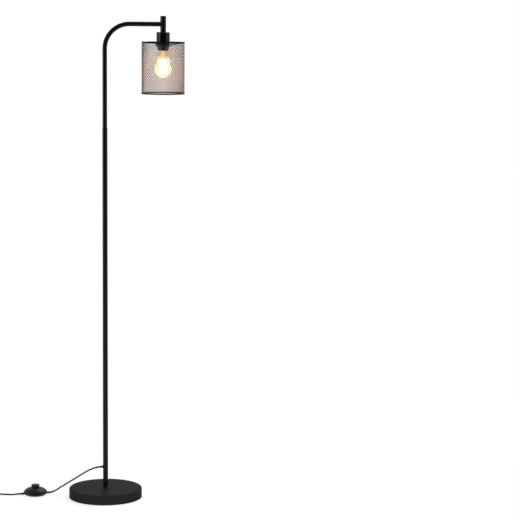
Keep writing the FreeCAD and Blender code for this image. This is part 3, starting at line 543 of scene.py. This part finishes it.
# %% [markdown]
# ## Colours and patterns
#
# Colours are written as the hex values a designer would pick on screen. The renderer works in linear light,
# so one function turns them. A pattern's scale is worked out from the real size of its grain, and one short
# function adds a node with its settings and links.

# %% Colour, scale and nodes
def linear(hex_colour):
    """An sRGB hex colour as linear red, green, blue and full opacity."""
    channels = [int(hex_colour[k:k + 2], 16) / 255 for k in (1, 3, 5)]
    turned = [c / 12.92 if c <= 0.04045 else ((c + 0.055) / 1.055) ** 2.4 for c in channels]
    return (*turned, 1.0)


def scale_for(grain_mm):
    """The scale at which a noise's blobs are this many millimetres across."""
    return mm_per_metre / grain_mm


def empty_tree(owner):
    """The node tree of a material or a world, with nothing in it."""
    owner.use_nodes = True
    owner.node_tree.nodes.clear()
    return owner.node_tree


def add_node(tree, kind, inputs=None, **settings):
    """Adds a node. An input is named or numbered, and is a value or another node's output."""
    node = tree.nodes.new(kind)
    for name, value in settings.items():
        setattr(node, name, value)
    for key, value in (inputs or {}).items():
        if isinstance(value, bpy.types.NodeSocket):
            tree.links.new(value, node.inputs[key])
        else:
            node.inputs[key].default_value = value
    return node


# %% [markdown]
# ## A grained finish
#
# Paint, moulded plastic, cast and plated metal all share one build: a fine noise that shifts the colour a
# little, changes the gloss, and lifts the surface. They differ in their grain, in how much it shows and in
# the shader's own values. So one function builds that, and each finish says its own numbers.

# %% The shared build of a grained finish
gloss_spread = 0.12


def grained(name, dark, light, grain_mm, roughness, relief_mm, shader_values, stretch=(1, 1, 1)):
    """A finish whose colour, gloss and relief follow one grain."""
    material = bpy.data.materials.new(name)
    tree = empty_tree(material)
    place = add_node(tree, "ShaderNodeTexCoord").outputs["Object"]
    stretched = add_node(tree, "ShaderNodeMapping", {"Vector": place, "Scale": stretch}).outputs[0]
    grain = add_node(
        tree, "ShaderNodeTexNoise",
        {"Vector": stretched, "Scale": scale_for(grain_mm), "Detail": 3.0, "Roughness": 0.6},
    ).outputs["Fac"]
    colour = add_node(
        tree, "ShaderNodeMix", {0: grain, 6: linear(dark), 7: linear(light)}, data_type="RGBA"
    ).outputs[2]
    smoothest = roughness * (1 - gloss_spread)
    roughest = roughness * (1 + gloss_spread)
    gloss = add_node(
        tree, "ShaderNodeMapRange", {"Value": grain, "To Min": smoothest, "To Max": roughest}
    ).outputs["Result"]
    relief = add_node(
        tree, "ShaderNodeBump",
        {"Height": grain, "Strength": 1.0, "Distance": relief_mm / mm_per_metre},
    ).outputs["Normal"]
    surface = add_node(
        tree, "ShaderNodeBsdfPrincipled",
        {"Base Color": colour, "Roughness": gloss, "Normal": relief, **shader_values},
    ).outputs[0]
    add_node(tree, "ShaderNodeOutputMaterial", {"Surface": surface})
    print(name, "grain", grain_mm, "mm, roughness", roughness)
    return material


# %% [markdown]
# ## Painted steel
#
# Powder coat is dry paint that is baked until it flows. It is satin, slightly wavy like orange peel, and
# very even. On the tubes the waves are about 2 mm long, which shows as a softly broken highlight. They are
# kept low, because high ones break a highlight into specks. The base's coat is finer and duller, because in
# the picture its top is a plain dark grey. Its colour is a lighter grey than the tubes': that grey is
# painted sheen on black paint, standing in for the reflection that its gloss, turned nearly off, would give.
#
# What the net and the small parts are painted with can't be seen. The net got a brown black, and the rims,
# the spider and the foot collar a blacker one, so that the net looks warm and the rims black, as they do in
# the picture. The net's brown is painted warm light from the bulb, laid over black paint. All four have far
# less gloss than such paint measures, because the white room's reflection turned them grey.

# %% Satin black paints
coat_relief_mm = 0.004


def satin_paint(name, dark, light, grain_mm, roughness, specular):
    """Even black paint with low waves."""
    return grained(
        name, dark, light, grain_mm, roughness, coat_relief_mm, {"Specular IOR Level": specular}
    )


# The name, the dark and the light of the grain, its size in mm, roughness and specular level.
tube_coat = satin_paint("powder_coat_satin_black", "#040405", "#08080a", 2.0, 0.26, 0.15)
# The base's lighter grey is painted sheen on black paint, whose gloss is turned nearly off.
base_coat_painted_sheen = satin_paint("powder_coat_black_painted_sheen", "#1a1a1b", "#232324", 1.2, 0.48, 0.008)
# The net's brown tint is painted warm light from the bulb, on black paint.
cage_coat_painted_warm_light = satin_paint("sprayed_black_painted_warm_light", "#1f1813", "#2c221b", 1.5, 0.45, 0.18)
stove_enamel = satin_paint("stove_enamel_black", "#050404", "#0a0807", 1.5, 0.42, 0.06)

# %% [markdown]
# ## Glass and light
#
# The photographed bulb is lit: its filaments burn out to white, the glass round them glows pale yellow, and
# the neck is amber. Clear glass alone would show none of that. So the envelope is thin tinted glass that
# lets most light pass, with a weak glow that turns from pale yellow at the round end to amber at the neck.
# The glow follows the height on the bulb, and so it stays put from every side.

# %% Glowing amber glass
amber_starts_below_socket = 0.034
amber_full_below_socket = 0.014


def glowing_glass(name, body_glow, neck_glow, strength, opacity):
    """Thin glass that glows in one colour on the bulb's body and in another at its neck."""
    material = bpy.data.materials.new(name)
    tree = empty_tree(material)
    place = add_node(tree, "ShaderNodeTexCoord").outputs["Object"]
    height = add_node(tree, "ShaderNodeSeparateXYZ", {0: place}).outputs["Z"]
    neckward = add_node(tree, "ShaderNodeMapRange", {
        "Value": height,
        "From Min": socket_mouth_height - amber_starts_below_socket,
        "From Max": socket_mouth_height - amber_full_below_socket,
    }, interpolation_type="SMOOTHSTEP").outputs["Result"]
    glow = add_node(
        tree, "ShaderNodeMix", {0: neckward, 6: linear(body_glow), 7: linear(neck_glow)}, data_type="RGBA"
    ).outputs[2]
    surface = add_node(tree, "ShaderNodeBsdfPrincipled", {
        "Base Color": linear("#120d05"), "Roughness": 0.06, "IOR": 1.5, "Alpha": opacity,
        "Emission Color": glow, "Emission Strength": strength,
    }).outputs[0]
    add_node(tree, "ShaderNodeOutputMaterial", {"Surface": surface})
    print(name, "glow", strength, "opacity", opacity)
    return material


# The name, the glow of the body and of the neck, its strength, and how opaque the glass is.
envelope_glass = glowing_glass("bulb_glass_amber_lit", "#e1d6a2", "#8a6a10", 3.0, 0.16)
stem_glass = glowing_glass("bulb_stem_glass_lit", "#fff3c8", "#f0d080", 2.0, 0.5)

# %% Filaments
# Sticks under a dotted yellow coat of phosphor, which is far brighter than white when it is lit.
filament_coat = grained(
    "filament_phosphor_lit", "#f2c34e", "#ffd978", grain_mm=0.9, roughness=0.6, relief_mm=0.05,
    shader_values={"Emission Color": linear("#ffe7b0"), "Emission Strength": 40.0},
)

# %% [markdown]
# ## Plastics, rubber and felt
#
# Moulded plastics have a faint spark-eroded grain from the mould and a semi-gloss surface. PVC on a cord is
# smoother and more even. Bakelite, the dark resin of a lamp holder, has a cloudy swirl. Felt is matted
# wool: rough and fibrous, with no gloss at all. As with the paint, the cord and the foot switch have less
# gloss than such plastic measures.

# %% Moulded, cast and rubbery finishes
def moulded(name, dark, light, grain_mm, roughness, relief_mm, specular):
    """A finish that comes out of a mould."""
    return grained(
        name, dark, light, grain_mm, roughness, relief_mm, {"Specular IOR Level": specular}
    )


# The name, the dark and the light of the grain, its size in mm, roughness, relief in mm, specular level.
cord_plastic = moulded("pvc_cord_black", "#050506", "#0a0a0b", 3.0, 0.42, 0.004, 0.12)
grommet_rubber = moulded("rubber_black", "#0d0d0d", "#151515", 0.8, 0.7, 0.03, 0.25)
switch_plastic = moulded("abs_semi_gloss_black", "#0c0c0d", "#121213", 0.6, 0.42, 0.008, 0.12)
button_plastic = moulded("abs_button_black", "#0d0d0e", "#141415", 0.6, 0.40, 0.008, 0.14)
plug_plastic = moulded("pvc_plug_black", "#0e0e0f", "#151516", 0.8, 0.45, 0.015, 0.35)
tie_nylon = moulded("nylon_black", "#111111", "#1a1a1a", 1.0, 0.5, 0.02, 0.35)
contact_plastic = moulded("urea_resin_cream", "#c9c3ae", "#d8d3c2", 1.5, 0.45, 0.01, 0.5)
bakelite = moulded("bakelite_black", "#120f0d", "#211a16", 5.0, 0.32, 0.006, 0.5)
black_glass = moulded("glass_black", "#0b080e", "#15101a", 3.0, 0.12, 0.004, 0.5)
felt = moulded("wool_felt_dark_grey", "#19191b", "#36363a", 0.7, 0.97, 0.35, 0.05)
cast_concrete = moulded("concrete_cast", "#7d7a73", "#a29f97", 3.5, 0.9, 0.3, 0.2)

# %% [markdown]
# ## Bare metal
#
# Bare metal is hidden inside, but for the plug's pins. It is plain: zinc-plated steel with its cloudy
# spangle, drawn spring wire, stamped brass and thin aluminium. A metal's colour is its reflection, so these
# are fully metallic, keep the default refraction and differ in tint and roughness. The drawn and rolled
# ones get a grain that is squeezed along one or two axes.

# %% Metals
metal_relief_mm = 0.006


def metal(name, dark, light, grain_mm, roughness, stretch=(1, 1, 1)):
    """Bare metal. The stretch is how much closer the grain lies along each axis."""
    return grained(name, dark, light, grain_mm, roughness, metal_relief_mm, {"Metallic": 1.0}, stretch)


# The name, the dark and the light of the grain, its size in mm, roughness and stretch.
zinc_steel = metal("zinc_plated_steel", "#a3a6a8", "#c9cbcc", 2.5, 0.34)
spring_steel = metal("drawn_spring_wire", "#8e8f91", "#b3b4b5", 0.8, 0.28, (1, 1, 6))
stamped_brass = metal("brass_stamped", "#a88136", "#cba555", 2.0, 0.30)
nickel_brass = metal("brass_nickel_washed", "#b9ab88", "#d8cdb0", 1.5, 0.22, (4, 1, 4))
thin_aluminium = metal("aluminium_rolled", "#c2c4c6", "#dfe0e1", 1.2, 0.33, (1, 1, 5))

# %% [markdown]
# ## Give every piece its finish
#
# A node keeps its shape and only gets a material. Listing the nodes by finish, as a maker would list what
# goes into one paint or plating bath, shows at once if one was left out.

# %% Finishes by node
finishes = {
    tube_coat: [
        "pole_lower", "pole_middle", "pole_upper", "joint_collar", "arm_tube",
        "hanger_tube", "hanger_cap", "socket_cup", "weld_bead",
    ],
    base_coat_painted_sheen: ["base_cover"],
    cage_coat_painted_warm_light: ["shade_mesh", "wire_cage"],
    stove_enamel: ["foot_collar", "shade_spider", "shade_top_rim", "shade_bottom_rim"],
    cast_concrete: ["base_weight"],
    felt: ["base_pad"],
    zinc_steel: [
        "base_washer", "base_nut", "base_nipple", "threaded_sleeves", "threaded_studs", "hanger_insert",
        "head_nipple", "cup_locknut", "switch_screws",
    ],
    spring_steel: ["switch_spring"],
    bakelite: ["socket_body", "shade_ring_nut"],
    stamped_brass: ["socket_screw_shell", "socket_contact", "bulb_contact", "switch_terminals"],
    nickel_brass: ["plug_pins"],
    thin_aluminium: ["bulb_cap"],
    black_glass: ["bulb_insulator"],
    envelope_glass: ["bulb_glass", "bulb_envelope"],
    stem_glass: ["bulb_stem"],
    filament_coat: ["bulb_filaments"],
    cord_plastic: [
        "cord_lead", "cord_run", "cord_coil", "cord_tail", "inner_lead", "lead_flex", "main_flex",
    ],
    grommet_rubber: ["cord_grommet", "pole_relief"],
    tie_nylon: ["cord_tie"],
    switch_plastic: ["switch_base", "switch_cover", "switch_relief_lead", "switch_relief_main"],
    button_plastic: ["switch_button"],
    contact_plastic: ["switch_contact_block"],
    plug_plastic: ["plug_body", "plug_boot", "ribbed_boot"],
}
for finish, names in finishes.items():
    for name in names:
        data = bpy.data.objects[name].data
        data.materials.clear()
        data.materials.append(finish)
unfinished = set(nodes) - {name for names in finishes.values() for name in names}
print("nodes without a finish", sorted(unfinished))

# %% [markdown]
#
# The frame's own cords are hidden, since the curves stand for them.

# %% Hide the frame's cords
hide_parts("cord_lead")
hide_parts("cord_run", "cord_coil", "cord_tail")

# %% [markdown]
# ## Floor and surroundings
#
# The lamp stands in a white studio. The world is white where the eye or a reflection meets it, and dimmer
# where it only lights the lamp, so that colours stay as they are written. The floor is a plain white disc.
# Near the lamp, part of what it shows to the eye is its own white, and the rest is lit, so that it keeps the
# lamp's soft shadow. Further out its own white takes over, so that it blends with the background.

# %% What the eye looks at
def seen_directly(tree):
    """One where the eye, a reflection or a ray through glass looks, and nought for other light."""
    path = add_node(tree, "ShaderNodeLightPath").outputs
    eye_or_gloss = add_node(
        tree, "ShaderNodeMath", {0: path["Is Camera Ray"], 1: path["Is Glossy Ray"]}, operation="ADD"
    ).outputs[0]
    return add_node(
        tree, "ShaderNodeMath", {0: eye_or_gloss, 1: path["Is Transmission Ray"]},
        operation="ADD", use_clamp=True,
    ).outputs[0]


# %% World
ambient_strength = 0.45

world = bpy.context.scene.world or bpy.data.worlds.new("studio")
bpy.context.scene.world = world
sky = empty_tree(world)
sky_strength = add_node(
    sky, "ShaderNodeMapRange", {"Value": seen_directly(sky), "To Min": ambient_strength, "To Max": 1.0}
).outputs["Result"]
white_sky = add_node(
    sky, "ShaderNodeBackground", {"Color": linear("#ffffff"), "Strength": sky_strength}
).outputs[0]
add_node(sky, "ShaderNodeOutputWorld", {"Surface": white_sky})
print("ambient", ambient_strength)

# %% Floor disc
floor_radius = 6.0
floor_sides = 96

floor_mesh = bmesh.new()
bmesh.ops.create_circle(floor_mesh, cap_ends=True, segments=floor_sides, radius=floor_radius)
floor = as_object("floor", floor_mesh)
print("floor radius", floor_radius)

# %% Floor finish
floor_own_white = 0.72
lit_floor_radius = 0.7
blended_floor_radius = 1.6

floor_finish = bpy.data.materials.new("white_studio_floor")
ground = empty_tree(floor_finish)
lit_white = add_node(ground, "ShaderNodeBsdfDiffuse", {"Color": linear("#f4f4f4")}).outputs[0]
own_white = add_node(ground, "ShaderNodeEmission", {"Color": linear("#ffffff"), "Strength": 1.0}).outputs[0]
floor_place = add_node(ground, "ShaderNodeTexCoord").outputs["Object"]
from_lamp = add_node(ground, "ShaderNodeVectorMath", {0: floor_place}, operation="LENGTH").outputs["Value"]
white_here = add_node(ground, "ShaderNodeMapRange", {
    "Value": from_lamp, "From Min": lit_floor_radius, "From Max": blended_floor_radius,
    "To Min": floor_own_white, "To Max": 1.0,
}, interpolation_type="SMOOTHSTEP").outputs["Result"]
own_share = add_node(
    ground, "ShaderNodeMath", {0: seen_directly(ground), 1: white_here}, operation="MULTIPLY"
).outputs[0]
floor_surface = add_node(
    ground, "ShaderNodeMixShader", {0: own_share, 1: lit_white, 2: own_white}
).outputs[0]
add_node(ground, "ShaderNodeOutputMaterial", {"Surface": floor_surface})
floor.data.materials.append(floor_finish)
print("own white", floor_own_white, "up to", lit_floor_radius, "and all from", blended_floor_radius)

# %% [markdown]
# ## Lights
#
# Two tall soft boxes stand beside the lamp, a little to the front. Each draws one long, soft line of light
# down every round tube, which is what tells the eye that black tubes are round. A large box high at the
# back lights the floor and throws a faint shadow to the front left, and a low one in front fills the side
# of the base. The low one is hidden from reflections.

# %% Studio lights
lamp_middle = Vector((0.0, 0.0, 0.85))
lamp_foot = Vector((0.0, 0.0, 0.0))


def soft_box(name, place, aim, width, height, watts, colour):
    """A rectangular light that faces its aim and that the camera doesn't see."""
    data = bpy.data.lights.new(name, "AREA")
    data.shape = "RECTANGLE"
    data.size = width
    data.size_y = height
    data.energy = watts
    data.color = linear(colour)[:3]
    light = added(name, data)
    light.location = place
    light.rotation_euler = (aim - place).to_track_quat("-Z", "Y").to_euler()
    light.visible_camera = False
    print(name, [round(x, 2) for x in place], watts, "W")
    return light


# The name, the place, the aim, width and height, watts and colour.
soft_box("left_box", Vector((-2.8, -0.9, 0.95)), lamp_middle, 1.5, 2.3, 48.0, "#f3f6ff")
soft_box("right_box", Vector((2.8, -1.0, 0.95)), lamp_middle, 0.7, 2.3, 14.0, "#fff9f4")
front_fill = soft_box("front_fill", Vector((0.4, -2.6, 0.5)), lamp_foot, 0.9, 0.5, 40.0, "#ffffff")
front_fill.visible_glossy = False
soft_box("high_box", Vector((1.6, 1.5, 3.4)), lamp_middle, 2.0, 2.0, 100.0, "#ffffff")

# %% [markdown]
# ## A black card
#
# In a white room a black tube mirrors white all over and looks grey. So a black card stands on the camera's
# side, as in a product studio. Only reflections see it, so it takes no light from the lamp and stays out of
# the picture.

# %% A black card on the camera's side
card_width = 7.2
card_height = 5.0
card_distance = 3.2

card_mesh = bmesh.new()
card_turn = Matrix.Rotation(math.radians(90), 4, "X")
card_place = Matrix.Translation((0, -card_distance, card_height / 2))
card_shape = Matrix.Diagonal((card_width / 2, card_height / 2, 1, 1))
card_matrix = card_place @ card_turn @ card_shape
bmesh.ops.create_grid(card_mesh, x_segments=1, y_segments=1, size=1.0, matrix=card_matrix)
card = as_object("black_card", card_mesh)
card.visible_camera = False
card.visible_diffuse = False
card.visible_transmission = False
card.visible_shadow = False
card_finish = bpy.data.materials.new("black_card_paper")
card_tree = empty_tree(card_finish)
card_black = add_node(card_tree, "ShaderNodeBsdfDiffuse", {"Color": linear("#050505")}).outputs[0]
add_node(card_tree, "ShaderNodeOutputMaterial", {"Surface": card_black})
card.data.materials.append(card_finish)
print("black card", card_width, "by", card_height)

# %% [markdown]
# ## The light in the bulb
#
# A lit bulb warms what stands round it. The glow of the glass is set for how the glass itself looks, so the
# warmth inside the cage comes from a small light of its own in the bulb's middle. It is hidden from the
# camera, and from reflections too, in which it made blotches on the net.

# %% The light in the bulb
bulb_light_watts = 16.0
bulb_light_radius = 0.024
bulb_light_left_of_axis = 0.004

bulb_light_data = bpy.data.lights.new("bulb_light", "POINT")
bulb_light_data.energy = bulb_light_watts
bulb_light_data.color = linear("#ffd6ae")[:3]
bulb_light_data.shadow_soft_size = bulb_light_radius
bulb_light = added("bulb_light", bulb_light_data)
bulb_light.location = (bulb_axis.x - bulb_light_left_of_axis, 0.0, bulb_middle_height)
bulb_light.visible_camera = False
bulb_light.visible_glossy = False
print("bulb light", bulb_light_watts, "W")

# %% [markdown]
# ## Finish
#
# The view transform is set to Standard, so that a colour comes out as it is written.

# %% The end
bpy.context.scene.view_settings.view_transform = "Standard"
bpy.context.view_layer.update()
